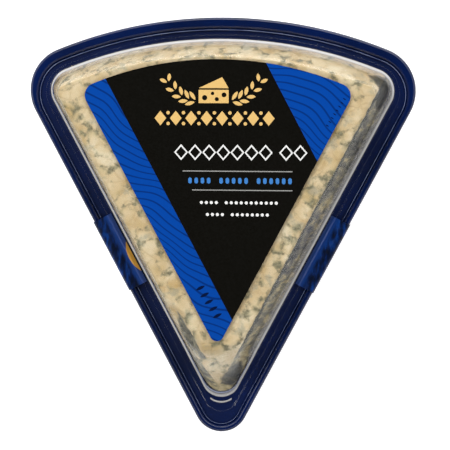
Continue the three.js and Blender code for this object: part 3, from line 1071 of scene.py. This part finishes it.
def outline_corners(*corners):
    """A shape with straight sides, counterclockwise."""
    points = [Vector(corner) for corner in (*corners, corners[0])]
    bpy.ops.mesh.select_all(action="DESELECT")
    start_point(*points[0], PRINT_FOOT)
    for here, after in zip(points, points[1:]):
        extrude(*(after - here))


def finish_print(piece, ink):
    """Fills the outlines, with a hole where one lies in another, and gives the ink its thickness."""
    bpy.ops.mesh.select_all(action="SELECT")
    bpy.ops.mesh.remove_doubles(threshold=SAME_POINT * MM)
    bpy.ops.mesh.fill()
    bpy.ops.mesh.select_all(action="SELECT")
    extrude(0, 0, PRINT_THICKNESS / 2)
    bpy.ops.mesh.select_all(action="SELECT")
    bpy.ops.mesh.normals_make_consistent(inside=False)
    finish_piece(piece, ink, "label_print")


def row_places(first, pitch, counts):
    """Even places in groups with one left out between two groups."""
    places = []
    for count in counts:
        places += [first + pitch * k for k in range(count)]
        first += pitch * (count + 1)
    return places


def outline_sprig(side):
    """Pairs of leaves on a curve that rises away from the wedge. side is -1 for its left."""
    for k in range(SPRIG_PAIRS):
        lean = SPRIG_LEAN + SPRIG_TURN * k
        across = Vector((-math.sin(math.radians(lean)), math.cos(math.radians(lean))))
        for edge in (-1, 1):
            base = SPRIG_START + Vector((SPRIG_PITCH * k, SPRIG_RISE * k * k))
            base += LEAF_APART * edge * across
            angle = lean + LEAF_SPREAD * edge
            if side < 0:
                angle = 180 - angle
            length = LEAF_LENGTH - LEAF_SHORTER * k
            outline_leaf(EMBLEM.x + side * base.x, EMBLEM.y + base.y, length, LEAF_WIDTH, angle)


def make_emblem():
    """A wedge with round holes between two leafy sprigs."""
    gold = new_piece("print_emblem")
    outline_corners(*[EMBLEM + Vector(corner) for corner in WEDGE_FRONT])
    outline_corners(*[EMBLEM + Vector(corner) for corner in WEDGE_TOP])
    for x, y, radius in WEDGE_HOLES:
        outline_disc(EMBLEM.x + x, EMBLEM.y + y, radius)
    for side in (-1, 1):
        outline_sprig(side)
    finish_print(gold, label_ink("label_gold_ink", GOLD_INK))


def make_print():
    """Generic ornament and rows of marks."""
    make_emblem()
    gold = new_piece("print_gold_band")
    for x in row_places(*BAND_LOZENGES):
        outline_lozenge(x, BAND_Y, *BAND_LOZENGE_SIZE)
    for x in row_places(*BAND_DOTS):
        for y in BAND_DOTS_Y:
            outline_disc(x, y, BAND_DOT_RADIUS)
    finish_print(gold, label_ink("label_gold_ink", GOLD_INK))

    white = new_piece("print_white_marks")
    for row in FRAME_GROUPS:
        for x in row_places(*row):
            for size in FRAME_SIZES:
                outline_lozenge(x, FRAMES_Y, *size)
    for y, row in DOT_ROWS:
        for x in row_places(*row):
            outline_disc(x, y, DOT_RADIUS)
    finish_print(white, label_ink("label_white_ink", "#dededc"))

    grey = new_piece("print_grey_rules")
    for x, y, length in RULES:
        outline_pill(x, y, length, RULE_THICKNESS)
    finish_print(grey, label_ink("label_grey_ink", "#92928f"))

    pale = new_piece("print_pale_blue_marks")
    for x in row_places(*BARS):
        outline_pill(x, BARS_Y, *BAR_SIZE, angle=90)
    finish_print(pale, label_ink("label_pale_blue_ink", "#3c76b8"))

    navy = new_piece("print_navy_marks")
    for count, first, step, size, angle in NAVY_ROWS:
        for k in range(count):
            outline_leaf(*(first + step * k), *size, angle)
    finish_print(navy, label_ink("label_navy_ink", "#021236"))


def make_seal(name, side, node):
    """A film strip over the rim. side is -1 for the pack's left and 1 for its right."""
    outward = Vector((side * COS, -SIN, 0))
    along = Vector((-side * SIN, -COS, 0))
    middle = Vector((side * SIN * SEAL_PLACE, APEX_Y + COS * SEAL_PLACE, LEDGE))
    crest = RIM_HEIGHT + SEAL_CLEARANCE
    section = [
        (SEAL_INNER_INSET, LID_WALL + 2 * SEAL_CLEARANCE, 0),
        *SEAL_FOLD,
        (SEAL_CREST_INSET, crest, RIM_BEND),
        (-SEAL_CLEARANCE, crest, RIM_BEND),
        (-SEAL_CLEARANCE, SEAL_CLEARANCE - SKIRT_DEPTH, 0),
    ]
    points = [middle - outward * inset + UP * height for inset, height, _ in section]
    points = [point - along * SEAL_LENGTH / 2 for point in points]
    seal = new_piece(name)
    start_point(*points[0])
    for here, after in zip(points, points[1:]):
        extrude(*(after - here))
    bpy.ops.mesh.select_all(action="SELECT")
    extrude(*(along * SEAL_LENGTH))
    for before, here, after, (_, _, bend) in zip(points, points[1:], points[2:], section[1:]):
        half = (before - here).angle(after - here) / 2
        spot = here * MM
        select_where(
            "edges",
            lambda edge: len(edge.link_faces) == 2
            and (edge.verts[0].co - spot).cross(along).length < FOLD_REACH * MM,
        )
        offset = min(bend / math.tan(half), SEAL_LONGEST_BEND) * MM
        bpy.ops.mesh.bevel(offset=offset, segments=BEND_STEPS, affect="EDGES")
    bpy.ops.mesh.select_all(action="SELECT")
    bpy.ops.mesh.normals_make_consistent(inside=False)
    bpy.ops.object.mode_set(mode="OBJECT")
    apply_modifier(seal, "SOLIDIFY", thickness=SEAL_THICKNESS * MM, offset=0)
    finish_piece(seal, seal_film(), "seal_film", node)


def make_floor():
    """A plain white light table."""
    bpy.ops.object.select_all(action="DESELECT")
    bpy.ops.mesh.primitive_plane_add(size=FLOOR_SIZE)
    floor = bpy.context.object
    floor.name = "floor"
    material, tree, _ = new_material("opal_light_table")
    shader = add(
        tree,
        "BsdfPrincipled",
        {
            "Base Color": "#e6e6e6",
            "Roughness": 0.9,
            "Emission Color": "#ffffff",
            "Emission Strength": FLOOR_GLOW,
        },
    )
    add(tree, "OutputMaterial", {"Surface": shader})
    floor.data.materials.append(material)


def light_studio():
    """Soft lamps that face the pack, and a faint white surround."""
    world = bpy.data.worlds.new("studio")
    bpy.context.scene.world = world
    world.use_nodes = True
    world.node_tree.nodes["Background"].inputs["Color"].default_value = linear("#ffffff")
    world.node_tree.nodes["Background"].inputs["Strength"].default_value = SURROUND_GLOW
    lamps = []
    for k in range(LAMPS):
        turn = 2 * math.pi * k / LAMPS
        side = Vector((math.cos(turn), math.sin(turn), 0))
        place = side * LAMP_REACH + UP * LAMP_HEIGHT
        power = LAMP_POWER * (1 + LAMP_BIAS * side.dot(LAMP_STRONGEST_FROM))
        lamps.append((place, LAMP_SIZE, power))
    lamps.append((BACK_LAMP_PLACE, BACK_LAMP_SIZE, BACK_LAMP_POWER))
    for k, (place, size, power) in enumerate(lamps):
        bpy.ops.object.light_add(type="AREA", location=LAMP_TARGET + place)
        lamp = bpy.context.object
        lamp.name = f"lamp_{k}"
        lamp.data.shape = "RECTANGLE"
        lamp.data.size, lamp.data.size_y = size
        lamp.data.energy = power
        lamp.rotation_euler = (LAMP_TARGET - lamp.location).to_track_quat("-Z", "Y").to_euler()


def place_camera():
    """The camera above, which leans a little to the right and back and shows the seen point at
    its pixel."""
    lean_x, lean_y = [math.sin(math.radians(angle)) for angle in CAMERA_LEAN]
    toward = Vector((lean_x, lean_y, 0))
    toward.z = math.sqrt(1 - toward.length_squared)
    right = Vector((0, 1, 0)).cross(toward).normalized()
    up = toward.cross(right)
    seen = SEEN_POINT * MM
    pixel = PIXEL * MM
    aim = seen + right * (HALF_PICTURE - SEEN_PIXEL[0]) * pixel
    aim += up * (SEEN_PIXEL[1] - HALF_PICTURE) * pixel
    bpy.ops.object.camera_add(location=seen + toward * CAMERA_DISTANCE)
    camera = bpy.context.object
    camera.name = "camera"
    camera.data.sensor_width = SENSOR_WIDTH
    camera.data.angle = 2 * math.atan(HALF_PICTURE * pixel / CAMERA_DISTANCE)
    back = (camera.location - aim).normalized()
    across = up.cross(back).normalized()
    camera.rotation_euler = Matrix((across, back.cross(across), back)).transposed().to_euler()
    bpy.context.scene.camera = camera
    bpy.context.scene.view_settings.view_transform = "Standard"


make_tray()
make_lid()
make_cheese()
make_label()
make_print()
make_seal("seal_left_film", -1, "seal_left")
make_seal("seal_right_film", 1, "seal_right")
make_floor()
light_studio()
place_camera()
